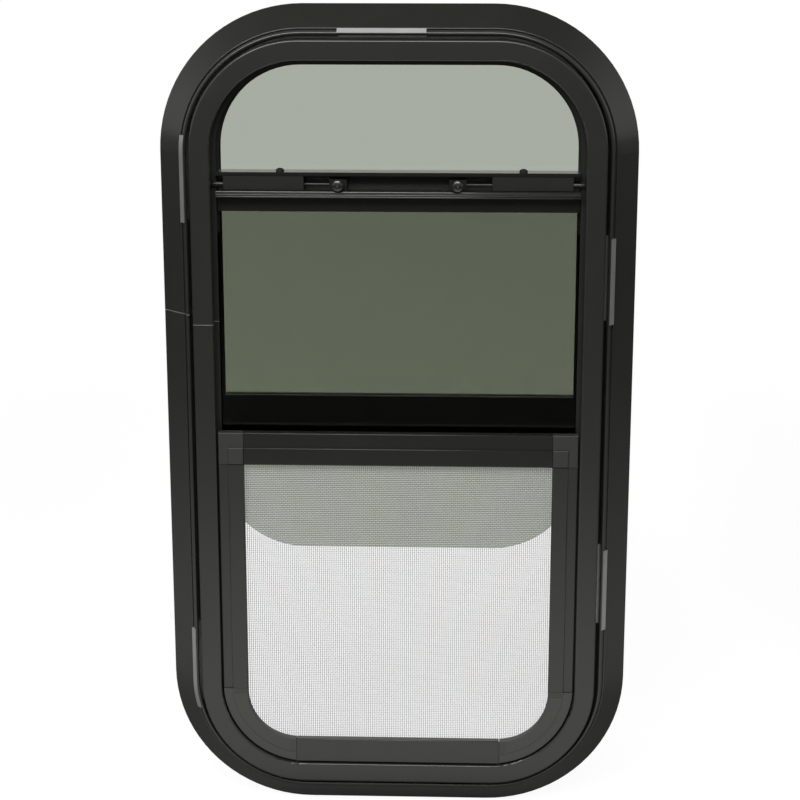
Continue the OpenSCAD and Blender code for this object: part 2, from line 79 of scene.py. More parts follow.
# What a named colour is multiplied by, as painted shade or painted light, for pieces that catch less or more
# light
COVER_PAINTED_SHADE = 0.65
BOLT_PAINTED_SHADE = 0.6
UPPER_CORNER_PAINTED_SHADE = 0.6
TOP_CLIP_PAINTED_LIGHT = 1.6
UPRIGHT_THREAD_PAINTED_SHADE = 0.5
CROSS_THREAD_PAINTED_LIGHT = 1.45

# Sash pane: share of the lighter tint at its bottom and top, and what its left and right edges add to it
TINT_DOWN = (1.0, 0.3)
TINT_ASIDE = (0.0, -0.3)

# Rounded edges: how near points are joined first, and the angle from which an edge counts as sharp
WELD_DISTANCE = 0.00001
SHARP_ANGLE = math.radians(50)

# Insect mesh: cross threads are a little thinner, and every thread is flatter than wide
CROSS_THREAD_WIDTH = 0.88
THREAD_FLATNESS = 0.6

# Pile: each strip's node, the distance between bristles along it, and its rows. Roots scatter by a share of
# the distance between neighbours, and tips by metres. A bristle is short by up to a share of its height.
PILE_STRIPS = (("meeting_rail_pile", 0.0007, 4), ("screen_bug_seal", 0.0009, 3))
PILE_SEED = 7
ROOT_SCATTER = 0.3
TIP_SCATTER_X = 0.0003
TIP_SCATTER_Z = 0.0004
SHORT_BRISTLE = 0.15
BRISTLE_THICKNESS = 0.45
BRISTLE_SIDES = 3

# Floor: a painted pool of light lies in front of the window and, dimmer, beside it, with painted shadow
# right under the window. It fades with the distance from the window's foot. A pair of lengths says where
# a change starts and ends.
FLOOR_RADIUS = 40.0
FLOOR_GAP = 0.0005
POOL_START_Y = (-0.125, -0.065)
PAINTED_SHADOW_UNDER_WINDOW = 0.15
POOL_FADE = (0.35, 1.1)
BESIDE_START_X = (0.25, 0.45)
BESIDE_FADE = (0.6, 1.6)
POOL_BESIDE_SHARE = 0.38
FLOOR_OFF_POOL = (0.05, 0.05, 0.05)
PAINTED_LIGHT_POOL = (0.75, 0.75, 0.75)
FLOOR_ROUGHNESS = (0.85, 0.95)
SEEN_OFF_POOL = 0.99
SEEN_ON_POOL = 0.66
# Painted reflection: how strongly the pool glows for glossy rays, in front of the window and beside it
PAINTED_REFLECTION_IN_FRONT = 0.34
PAINTED_REFLECTION_BESIDE = 0.4

# Backdrop: spans of a ray's direction over which the light changes, and its share in front and overhead
BEHIND_WINDOW_Y = (0.3, 0.7)
TO_THE_SIDE_X = (0.3, 0.8)
FRONT_SHARE = 0.26
UPWARD_Z = (0.2, 0.8)
OVERHEAD_SHARE = 0.2

# Softbox and camera
SOFTBOX_SIZE = (1.7, 0.8)
SOFTBOX_AIM = Vector((0, 0, 0.3))
SENSOR_WIDTH = 36.0


# What a user would change


class WindowSizes(bpy.types.PropertyGroup):
    """Sizes of what the scene adds to the CAD parts."""

    mesh_pitch: bpy.props.FloatProperty(
        name="Mesh pitch",
        description="Distance between two mesh threads",
        default=0.00146,
        unit="LENGTH",
    )
    thread_width: bpy.props.FloatProperty(
        name="Thread width",
        description="Width of a mesh thread",
        default=0.00034,
        unit="LENGTH",
    )
    mesh_bend: bpy.props.FloatProperty(
        name="Mesh bend",
        description="Radius of the mesh's lower corners",
        default=0.0407,
        unit="LENGTH",
    )
    pile_height: bpy.props.FloatProperty(
        name="Pile height",
        description="How far the pile stands out of its groove",
        default=0.0016,
        unit="LENGTH",
    )
    frame_cut: bpy.props.FloatProperty(
        name="Frame joint",
        description="Height of the frame's butt joint above the middle",
        default=0.0769,
        unit="LENGTH",
    )
    ring_cut: bpy.props.FloatProperty(
        name="Ring joint",
        description="Height of the ring's butt joint above the middle",
        default=0.0835,
        unit="LENGTH",
    )
    cut_edge: bpy.props.FloatProperty(
        name="Cut edge",
        description="Height of the bare edge above a butt joint",
        default=0.0006,
        unit="LENGTH",
    )
    edge_round: bpy.props.FloatProperty(
        name="Edge rounding",
        description="Rounding of the edges of rails and latch parts",
        default=0.00025,
        unit="LENGTH",
    )


class WindowColours(bpy.types.PropertyGroup):
    """Colours of the window's finishes."""

    coat: bpy.props.FloatVectorProperty(
        name="Frame coat",
        description="Satin black coat of frame and ring",
        default=(0.0180, 0.0183, 0.0146),
        subtype="COLOR",
    )
    sash: bpy.props.FloatVectorProperty(
        name="Sash rail",
        description="Black coat of the sash rail",
        default=(0.0090, 0.0092, 0.0070),
        subtype="COLOR",
    )
    screen: bpy.props.FloatVectorProperty(
        name="Screen rails",
        description="Painted screen rails",
        default=(0.0215, 0.0217, 0.0172),
        subtype="COLOR",
    )
    screen_top: bpy.props.FloatVectorProperty(
        name="Screen top rail",
        description="Darker paint of the screen's top rail",
        default=(0.0085, 0.0086, 0.0070),
        subtype="COLOR",
    )
    corner: bpy.props.FloatVectorProperty(
        name="Screen corners",
        description="Moulded screen corners",
        default=(0.062, 0.0622, 0.0550),
        subtype="COLOR",
    )
    clip: bpy.props.FloatVectorProperty(
        name="Ring clips",
        description="Grey spring clips",
        default=(0.50, 0.505, 0.49),
        subtype="COLOR",
    )
    bare_metal: bpy.props.FloatVectorProperty(
        name="Bare metal",
        description="Sawn edge at the butt joints",
        default=(0.20, 0.20, 0.19),
        subtype="COLOR",
    )
    rubber: bpy.props.FloatVectorProperty(
        name="Rubber",
        description="Gaskets and channels",
        default=(0.0085, 0.0085, 0.0078),
        subtype="COLOR",
    )
    fixed_pane: bpy.props.FloatVectorProperty(
        name="Fixed pane",
        description="Tint of the fixed pane",
        default=(0.42, 0.452, 0.39),
        subtype="COLOR",
    )
    sash_pane: bpy.props.FloatVectorProperty(
        name="Sash pane",
        description="Tint of the sash pane",
        default=(0.308, 0.333, 0.273),
        subtype="COLOR",
    )
    sash_drift: bpy.props.FloatProperty(
        name="Sash tint drift",
        description="How far the sash pane's tint goes to either side of its middle tone",
        default=0.09,
        subtype="FACTOR",
    )
    thread: bpy.props.FloatVectorProperty(
        name="Mesh thread",
        description="Coated mesh thread",
        default=(0.505, 0.50, 0.515),
        subtype="COLOR",
    )


class WindowStudio(bpy.types.PropertyGroup):
    """Camera, softbox and the light from the sides."""

    lens: bpy.props.FloatProperty(
        name="Lens",
        description="Focal length in millimetres on a 36 mm sensor",
        default=88.25,
        unit="CAMERA",
    )
    camera_place: bpy.props.FloatVectorProperty(
        name="Camera place",
        description="Where the camera stands",
        default=(0.0516, -1.4412, 0.6730),
        subtype="TRANSLATION",
    )
    camera_down: bpy.props.FloatProperty(
        name="Camera tilt",
        description="How far the camera looks down",
        default=math.radians(14.5),
        subtype="ANGLE",
    )
    camera_turn: bpy.props.FloatProperty(
        name="Camera turn",
        description="How far the camera turns to the left",
        default=math.radians(2.05),
        subtype="ANGLE",
    )
    lamp_power: bpy.props.FloatProperty(
        name="Lamp power",
        description="Power of the softbox in watts",
        default=31.0,
        unit="POWER",
    )
    lamp_place: bpy.props.FloatVectorProperty(
        name="Lamp place",
        description="Where the softbox hangs, above the camera",
        default=(-0.3, -1.45, 1.6),
        subtype="TRANSLATION",
    )
    sky_light: bpy.props.FloatProperty(
        name="Sky light",
        description="Strength of the soft light from the sides",
        default=0.62,
    )


# Shader helpers


def math_node(tree, operation, first, second, clamp=False):
    """A math node on two numbers, each an output socket or a plain value."""
    node = tree.nodes.new("ShaderNodeMath")
    node.operation = operation
    node.use_clamp = clamp
    for index, value in enumerate((first, second)):
        if isinstance(value, (int, float)):
            node.inputs[index].default_value = value
        else:
            tree.links.new(value, node.inputs[index])
    return node.outputs["Value"]


def remap(tree, value, start, end, first, last):
    """Maps value from start..end to first..last, and holds it there outside."""
    node = tree.nodes.new("ShaderNodeMapRange")
    node.inputs["From Min"].default_value = start
    node.inputs["From Max"].default_value = end
    node.inputs["To Min"].default_value = first
    node.inputs["To Max"].default_value = last
    tree.links.new(value, node.inputs["Value"])
    return node.outputs["Result"]


def axes(tree, point):
    """The X, Y and Z of a point or direction, as single numbers."""
    parts = tree.nodes.new("ShaderNodeSeparateXYZ")
    tree.links.new(point, parts.inputs["Vector"])
    return parts.outputs["X"], parts.outputs["Y"], parts.outputs["Z"]


def without_sign(tree, number):
    """How far a number is from zero."""
    return math_node(tree, "ABSOLUTE", number, 0.0)


def two_tone(tree, share, first, second):
    """Mixes two colours by a mask. Each is an output socket or a plain colour."""
    mix = tree.nodes.new("ShaderNodeMix")
    mix.data_type = "RGBA"
    tree.links.new(share, mix.inputs["Factor"])
    for label, colour in (("A", first), ("B", second)):
        if isinstance(colour, bpy.types.NodeSocket):
            tree.links.new(colour, mix.inputs[label])
        else:
            mix.inputs[label].default_value = (*colour, 1)
    return mix.outputs["Result"]


def shaded(colour, share):
    """A colour made darker or paler."""
    return [part * share for part in colour]


def shader_group(name, inputs, outputs):
    """An empty node group with float inputs (name, default) and outputs (name)."""
    tree = bpy.data.node_groups.new(name, "ShaderNodeTree")
    for label, value in inputs:
        socket = tree.interface.new_socket(name=label, in_out="INPUT", socket_type="NodeSocketFloat")
        socket.default_value = value
    for label in outputs:
        tree.interface.new_socket(name=label, in_out="OUTPUT", socket_type="NodeSocketFloat")
    return tree, tree.nodes.new("NodeGroupInput"), tree.nodes.new("NodeGroupOutput")


def noise(tree, point, scale, detail, roughness=0.5, distortion=0.0):
    """A noise texture at a point, with its scale given by a socket."""
    texture = tree.nodes.new("ShaderNodeTexNoise")
    texture.inputs["Detail"].default_value = detail
    texture.inputs["Roughness"].default_value = roughness
    texture.inputs["Distortion"].default_value = distortion
    tree.links.new(point, texture.inputs["Vector"])
    tree.links.new(scale, texture.inputs["Scale"])
    return texture.outputs["Fac"]


def fine_grain_group():
    """Fine grain of a sprayed or moulded surface: a height for bump and a slow change of tone."""
    if "Fine Grain" in bpy.data.node_groups:
        return bpy.data.node_groups["Fine Grain"]
    inputs = [("Grain Scale", 900.0), ("Tone Scale", 14.0)]
    tree, given, made = shader_group("Fine Grain", inputs, ["Height", "Tone"])
    point = tree.nodes.new("ShaderNodeTexCoord").outputs["Object"]
    grain = noise(tree, point, given.outputs["Grain Scale"], detail=3.0)
    tone = noise(tree, point, given.outputs["Tone Scale"], detail=4.0, roughness=0.6)
    tree.links.new(grain, made.inputs["Height"])
    tree.links.new(tone, made.inputs["Tone"])
    return tree


def handling_group():
    """Faint dust and finger marks, as a mask from 0 to 1."""
    if "Handling Marks" in bpy.data.node_groups:
        return bpy.data.node_groups["Handling Marks"]
    tree, given, made = shader_group("Handling Marks", [("Scale", 35.0), ("Amount", 0.4)], ["Mask"])
    point = tree.nodes.new("ShaderNodeTexCoord").outputs["Object"]
    smears = noise(tree, point, given.outputs["Scale"], detail=8.0, roughness=0.7, distortion=0.6)
    marks = remap(tree, smears, *MARK_LEVELS, 0.0, 1.0)
    tree.links.new(math_node(tree, "MULTIPLY", marks, given.outputs["Amount"]), made.inputs["Mask"])
    return tree


def cut_line_group():
    """1 on the left-hand side within a small distance of one height, where a butt joint shows bare metal."""
    if "Cut Line" in bpy.data.node_groups:
        return bpy.data.node_groups["Cut Line"]
    tree, given, made = shader_group("Cut Line", [("Height", 0.0), ("Half Width", 0.0004)], ["Mask"])
    across, _, up = axes(tree, tree.nodes.new("ShaderNodeTexCoord").outputs["Object"])
    off = without_sign(tree, math_node(tree, "SUBTRACT", up, given.outputs["Height"]))
    near = math_node(tree, "LESS_THAN", off, given.outputs["Half Width"])
    left = math_node(tree, "LESS_THAN", across, 0.0)
    tree.links.new(math_node(tree, "MULTIPLY", near, left), made.inputs["Mask"])
    return tree


def placed_group(tree, group, **values):
    """A group in a tree, with its inputs set. An underscore in a name stands for a space."""
    node = tree.nodes.new("ShaderNodeGroup")
    node.node_tree = group
    for label, value in values.items():
        node.inputs[label.replace("_", " ")].default_value = value
    return node


def new_material(name):
    """A new material, with its node tree and its surface shader."""
    material = bpy.data.materials.new(name)
    material.use_nodes = True
    return material, material.node_tree, material.node_tree.nodes["Principled BSDF"]


def grained(
    name,
    colour,
    roughness,
    lift=0.15,
    grain_scale=900.0,
    grain_depth=0.00003,
    tone_scale=14.0,
    metallic=0.0,
    coat=0.0,
):
    """A coated, moulded or rubber finish: fine grain, a slow change of tone, and faint handling marks."""
    material, tree, surface = new_material(name)
    grain = placed_group(tree, fine_grain_group(), Grain_Scale=grain_scale, Tone_Scale=tone_scale)
    marks = placed_group(tree, handling_group(), Scale=MARK_SCALE, Amount=MARK_AMOUNT)
    tone = two_tone(tree, grain.outputs["Tone"], shaded(colour, 1 - lift), shaded(colour, 1 + lift))
    tree.links.new(tone, surface.inputs["Base Color"])
    dulled = min(1.0, roughness + MARK_DULLING)
    rough = remap(tree, marks.outputs["Mask"], 0.0, 1.0, roughness, dulled)
    tree.links.new(rough, surface.inputs["Roughness"])
    bump = tree.nodes.new("ShaderNodeBump")
    bump.inputs["Strength"].default_value = GRAIN_STRENGTH
    bump.inputs["Distance"].default_value = grain_depth
    tree.links.new(grain.outputs["Height"], bump.inputs["Height"])
    tree.links.new(bump.outputs["Normal"], surface.inputs["Normal"])
    surface.inputs["Metallic"].default_value = metallic
    surface.inputs["Coat Weight"].default_value = coat
    surface.inputs["Coat Roughness"].default_value = COAT_ROUGHNESS
    return material


def clear_glass(name, colour):
    """Clear pane of one even tint."""
    material, _, surface = new_material(name)
    surface.inputs["Base Color"].default_value = (*colour, 1)
    surface.inputs["Roughness"].default_value = 0.0
    surface.inputs["Metallic"].default_value = 0.0
    surface.inputs["Transmission Weight"].default_value = 1.0
    surface.inputs["IOR"].default_value = 1.5
    return material


def drift_tint(material, colour, node, drift):
    """Lets a pane's tint grow lighter from the node's upper right to its lower left."""
    tree = material.node_tree
    surface = tree.nodes["Principled BSDF"]
    low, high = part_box(node)
    across, _, up = axes(tree, tree.nodes.new("ShaderNodeTexCoord").outputs["Object"])
    down = remap(tree, up, low.z, high.z, *TINT_DOWN)
    aside = remap(tree, across, low.x, high.x, *TINT_ASIDE)
    share = math_node(tree, "ADD", down, aside)
    tint = two_tone(tree, share, shaded(colour, 1 - drift), shaded(colour, 1 + drift))
    tree.links.new(tint, surface.inputs["Base Color"])


def bare_cut(material, height, width, colour):
    """Shows bare metal on the edge above a butt joint, where the saw went through the coat."""
    tree = material.node_tree
    surface = tree.nodes["Principled BSDF"]
    cut = placed_group(tree, cut_line_group(), Height=height + width / 2, Half_Width=width / 2)
    coated = surface.inputs["Base Color"].links[0].from_socket
    tint = two_tone(tree, cut.outputs["Mask"], coated, colour)
    tree.links.new(tint, surface.inputs["Base Color"])


# Object helpers


def finish(node_names, material):
    """Gives CAD nodes a finish."""
    for name in node_names:
        for slot in NODES[name].material_slots:
            slot.material = material


def soften(node_names, width):
    """Rounds the sharp edges of CAD nodes a little, as a modifier."""
    for name in node_names:
        weld = NODES[name].modifiers.new("weld", "WELD")
        weld.merge_threshold = WELD_DISTANCE
        bevel = NODES[name].modifiers.new("soft_edges", "BEVEL")
        bevel.width = width
        bevel.segments = 2
        bevel.limit_method = "ANGLE"
        bevel.angle_limit = SHARP_ANGLE
        bevel.harden_normals = True
        bevel.use_clamp_overlap = True


def mesh_object(name, verts, faces, material):
    """A piece made of points and faces, with its own material, hung on the root body."""
    mesh = bpy.data.meshes.new(name)
    mesh.from_pydata(verts, [], faces)
    mesh.materials.append(material)
    mesh.update()
    piece = bpy.data.objects.new(name, mesh)
    bpy.context.scene.collection.objects.link(piece)
    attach(piece, "root")
    return piece


def both(name):
    """The names of a left and a right piece."""
    return [f"{name}_left", f"{name}_right"]


# Operators: frame, ring, glass


class WINDOW_OT_frame_coat(bpy.types.Operator):
    """Satin black coat on the frame, the trim ring, the meeting rail and the latch strips"""

    bl_idname = "window.frame_coat"
    bl_label = "Frame and ring coat"

    def execute(self, context):
        colours, sizes = context.scene.window_colours, context.scene.window_sizes
        coat = grained("satin_black_coat", colours.coat, roughness=0.40, coat=0.5)
        finish(["meeting_rail", *both("latch_strip")], coat)
        low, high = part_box("trim_ring")
        middle = (low.z + high.z) / 2
        for node, above in (("main_frame", sizes.frame_cut), ("trim_ring", sizes.ring_cut)):
            cut_coat = grained(f"{node}_coat", colours.coat, roughness=0.40, coat=0.6)
            bare_cut(cut_coat, middle + above, sizes.cut_edge, colours.bare_metal)
            finish([node], cut_coat)
        soften(["meeting_rail"], sizes.edge_round)
        return {"FINISHED"}


class WINDOW_OT_ring_clips(bpy.types.Operator):
    """Dull grey metal on the ring's spring clips, with a paler copy on the top one as painted light"""

    bl_idname = "window.ring_clips"
    bl_label = "Ring clips"

    def execute(self, context):
        colour = context.scene.window_colours.clip
        grain = {"grain_scale": 1600.0, "grain_depth": 0.00002, "tone_scale": 60.0}
        clip = grained("clip_grey_metal", colour, roughness=0.32, lift=0.15, metallic=0.7, **grain)
        # Painted light: the top clip takes a paler copy of the clip metal, as it catches more light
        painted_pale = shaded(colour, TOP_CLIP_PAINTED_LIGHT)
        top = grained("top_clip_metal_painted_light", painted_pale, roughness=0.32, lift=0.1, metallic=0.5, **grain)
        finish(["ring_clip_top"], top)
        finish([*both("ring_clip_upper"), *both("ring_clip_lower")], clip)
        return {"FINISHED"}


class WINDOW_OT_glass(bpy.types.Operator):
    """Tinted glass for both panes"""

    bl_idname = "window.glass"
    bl_label = "Glass"

    def execute(self, context):
        colours = context.scene.window_colours
        sash = clear_glass("sash_pane_glass", colours.sash_pane)
        drift_tint(sash, colours.sash_pane, "sash_glass", colours.sash_drift)
        finish(["fixed_glass"], clear_glass("fixed_pane_glass", colours.fixed_pane))
        finish(["sash_glass"], sash)
        return {"FINISHED"}


class WINDOW_OT_rubber(bpy.types.Operator):
    """Matt black rubber for gaskets, channels, the spline, the buttons and the weep covers"""

    bl_idname = "window.rubber"
    bl_label = "Rubber parts"

    def execute(self, context):
        colour = context.scene.window_colours.rubber
        rubber = grained("matt_black_rubber", colour, roughness=0.72, grain_scale=2200.0, tone_scale=40.0)
        seals = ["glazing_gasket", "run_channel", "sash_rail_gasket", "screen_spline"]
        finish([*seals, *both("rail_button"), *both("weep_cover")], rubber)
        return {"FINISHED"}


# Operators: sash


class WINDOW_OT_sash_parts(bpy.types.Operator):
    """Coat and plastic for the sash rail, its cover plates, bolts and knobs"""

    bl_idname = "window.sash_parts"
    bl_label = "Sash rail and latches"

    def execute(self, context):
        colours, sizes = context.scene.window_colours, context.scene.window_sizes
        covers, bolts, knobs = both("latch_cover"), both("latch_bolt"), both("latch_knob")
        # Painted shade: the cover plates and bolts sit in the rail's trough and take darker copies of the
        # frame coat
        cover_painted_shade = shaded(colours.coat, COVER_PAINTED_SHADE)
        bolt_painted_shade = shaded(colours.coat, BOLT_PAINTED_SHADE)
        rail = grained("sash_black_coat", colours.sash, roughness=0.32, coat=1.0)
        plate = grained("latch_plate_plastic", cover_painted_shade, roughness=0.45, grain_scale=1500.0)
        bolt = grained("latch_bolt_plastic", bolt_painted_shade, roughness=0.35, grain_scale=1500.0, coat=0.4)
        knob = grained("latch_knob_plastic", colours.coat, roughness=0.22, grain_scale=1500.0, coat=1.0)
        finish(["sash_rail"], rail)
        finish(covers, plate)
        finish(bolts, bolt)
        finish(knobs, knob)
        soften(["sash_rail", *covers, *bolts, *knobs], sizes.edge_round)
        return {"FINISHED"}


# Operators: screen


class WINDOW_OT_screen_rails(bpy.types.Operator):
    """Paint on the screen's rails and grained plastic on its corner pieces"""

    bl_idname = "window.screen_rails"
    bl_label = "Screen rails and corners"

    def execute(self, context):
        colours, sizes = context.scene.window_colours, context.scene.window_sizes
        paint = grained("screen_paint", colours.screen, roughness=0.38, coat=0.5)
        dark = grained("screen_top_paint", colours.screen_top, roughness=0.38, coat=0.25)
        moulded = {"roughness": 0.45, "grain_scale": 1300.0}
        lower = grained("screen_corner_plastic", colours.corner, grain_depth=0.00005, **moulded)
        # Painted shade: the upper corners take a darker copy of the same corner plastic
        upper = grained("screen_ear_plastic", shaded(colours.corner, UPPER_CORNER_PAINTED_SHADE), **moulded)
        finish(["screen_top_rail"], dark)
        finish(["screen_bottom_rail", *both("screen_stile")], paint)
        finish(both("screen_corner_bottom"), lower)
        finish(both("screen_corner_top"), upper)
        soften(["screen_top_rail", "screen_bottom_rail", *both("screen_stile")], sizes.edge_round)
        return {"FINISHED"}


def thread(first, last, crossings, heights, width):
    """One woven thread, a four-sided tube from first to last that goes over and under at the crossings."""
    verts, faces = [], []
    out = Vector((0, -1, 0))
    across = (last - first).normalized().cross(out)
    thick = out * THREAD_FLATNESS
    half = width / 2
    points = [first] + crossings + [last]
    for point, lift in zip(points, [0] + heights + [0]):
        centre = point + out * lift
        for corner in (across + thick, across - thick, -across - thick, thick - across):
            verts.append(centre + corner * half)
    for k in range(len(points) - 1):
        for c in range(4):
            a, b = 4 * k + c, 4 * k + (c + 1) % 4
            faces.append((a, b, b + 4, a + 4))
    faces.append((3, 2, 1, 0))
    end = 4 * (len(points) - 1)
    faces.append((end, end + 1, end + 2, end + 3))
    return verts, faces


def bend_in(past, radius):
    """How far a round corner has pulled in, at a distance past its start."""
    if past <= 0:
        return 0.0
    return radius - math.sqrt(max(radius**2 - past**2, 0))


class WINDOW_OT_insect_mesh(bpy.types.Operator):
    """Weaves the insect mesh out of single threads, inside the outline of the CAD sheet"""

    bl_idname = "window.insect_mesh"
    bl_label = "Insect mesh"

    def execute(self, context):
        sizes = context.scene.window_sizes
        colour = context.scene.window_colours.thread
        # Painted shade and light: upright threads take a darker copy of the thread colour, cross threads a
        # paler one
        dark, painted_pale = shaded(colour, UPRIGHT_THREAD_PAINTED_SHADE), shaded(colour, CROSS_THREAD_PAINTED_LIGHT)
        upright = grained("mesh_upright_thread", dark, roughness=0.6, lift=0.2, grain_scale=2500.0)
        cross = grained("mesh_cross_thread", painted_pale, roughness=0.6, lift=0.1, grain_scale=2500.0)
        low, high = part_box("screen_mesh")
        pitch, width = sizes.mesh_pitch, sizes.thread_width
        columns = int((high.x - low.x - width) / pitch)
        rows = int((high.z - low.z - width) / pitch)
        xs = [(c - (columns - 1) / 2) * pitch for c in range(columns)]
        zs = [high.z - width - r * pitch for r in range(rows)]
        uprights = self.upright_threads(xs, zs, low, high, width, sizes.mesh_bend)
        crosses = self.cross_threads(xs, zs, low, high, width, sizes.mesh_bend)
        self.weave("insect_mesh_upright_threads", uprights, upright)
        self.weave("insect_mesh_cross_threads", crosses, cross)
        return {"FINISHED"}

    @staticmethod
    def upright_threads(xs, zs, low, high, width, bend):
        """Threads from the top down to the outline's lower edge."""
        mid_y, half_x = (low.y + high.y) / 2, (high.x - low.x) / 2
        for i, x in enumerate(xs):
            bottom = low.z + bend_in(abs(x) - (half_x - bend), bend)
            crossings = [Vector((x, mid_y, z)) for z in zs if z > bottom + width]
            heights = [width / 2 * (1 if (i + k) % 2 else -1) for k in range(len(crossings))]
            yield thread(Vector((x, mid_y, high.z)), Vector((x, mid_y, bottom)), crossings, heights, width)

    @staticmethod
    def cross_threads(xs, zs, low, high, width, bend):
        """Threads from side to side, under where the uprights go over."""
        mid_y, half_x = (low.y + high.y) / 2, (high.x - low.x) / 2
        thin = width * CROSS_THREAD_WIDTH
        for i, z in enumerate(zs):
            reach = half_x - bend_in(low.z + bend - z, bend)
            stops = [x for x in xs if abs(x) < reach - width]
            skipped = xs.index(stops[0])
            crossings = [Vector((x, mid_y, z)) for x in stops]
            heights = [width / 2 * (-1 if (i + k + skipped) % 2 else 1) for k in range(len(stops))]
            yield thread(Vector((-reach, mid_y, z)), Vector((reach, mid_y, z)), crossings, heights, thin)

    @staticmethod
    def weave(name, threads, material):
        """Puts threads together as one piece."""
        verts, faces = [], []
        for thread_verts, thread_faces in threads:
            base = len(verts)
            verts += thread_verts
            faces += [tuple(base + n for n in face) for face in thread_faces]
        piece = mesh_object(name, verts, faces, material)
        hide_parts("screen_mesh")


class WINDOW_OT_pile_strips(bpy.types.Operator):
    """Bristles for the meeting rail's pile and for the seal behind the screen"""

    bl_idname = "window.pile_strips"
    bl_label = "Pile strips"

    def execute(self, context):
        colour = context.scene.window_colours.rubber
        pile = grained("black_pile", colour, roughness=0.85, lift=0.6, grain_scale=3000.0)
        draw = random.Random(PILE_SEED)
        for node, step, rows in PILE_STRIPS:
            low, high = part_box(node)
            verts, faces = [], []
            count = int((high.x - low.x) / step)
            row_step = (high.z - low.z) / rows
            thick = step * BRISTLE_THICKNESS
            reach = min(context.scene.window_sizes.pile_height, high.y - low.y)
            for row in range(rows):
                for k in range(count):
                    x = low.x + (k + 0.5 + draw.uniform(-ROOT_SCATTER, ROOT_SCATTER)) * step
                    z = low.z + (row + 0.5 + draw.uniform(-ROOT_SCATTER, ROOT_SCATTER)) * row_step
                    tip_x = x + draw.uniform(-TIP_SCATTER_X, TIP_SCATTER_X)
                    tip_z = z + draw.uniform(-TIP_SCATTER_Z, TIP_SCATTER_Z)
                    tip_y = low.y + draw.uniform(0, SHORT_BRISTLE) * reach
                    root, tip = Vector((x, high.y, z)), Vector((tip_x, tip_y, tip_z))
                    self.bristle(verts, faces, root, tip, thick)
            piece = mesh_object(f"{node}_bristles", verts, faces, pile)
            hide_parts(node)
        return {"FINISHED"}

    @staticmethod
    def bristle(verts, faces, root, tip, thick):
        """Adds one spike, closed at its root."""
        base, sides = len(verts), BRISTLE_SIDES
        for turn in range(sides):
            angle = turn * math.tau / sides
            verts.append(root + Vector((thick * math.cos(angle), 0, thick * math.sin(angle))))
        verts.append(tip)
        faces += [(base + turn, base + (turn + 1) % sides, base + sides) for turn in range(sides)]
        faces.append(tuple(base + turn for turn in reversed(range(sides))))


# Operators: studio


def seen_directly(tree, path):
    """1 for camera and transmission rays that no other surface has thrown back before."""
    camera, through = path.outputs["Is Camera Ray"], path.outputs["Is Transmission Ray"]
    glossy, diffuse = path.outputs["Glossy Depth"], path.outputs["Diffuse Depth"]
    straight = math_node(tree, "ADD", camera, through, clamp=True)
    thrown = math_node(tree, "ADD", glossy, diffuse, clamp=True)
    return math_node(tree, "MULTIPLY", straight, math_node(tree, "SUBTRACT", 1.0, thrown))


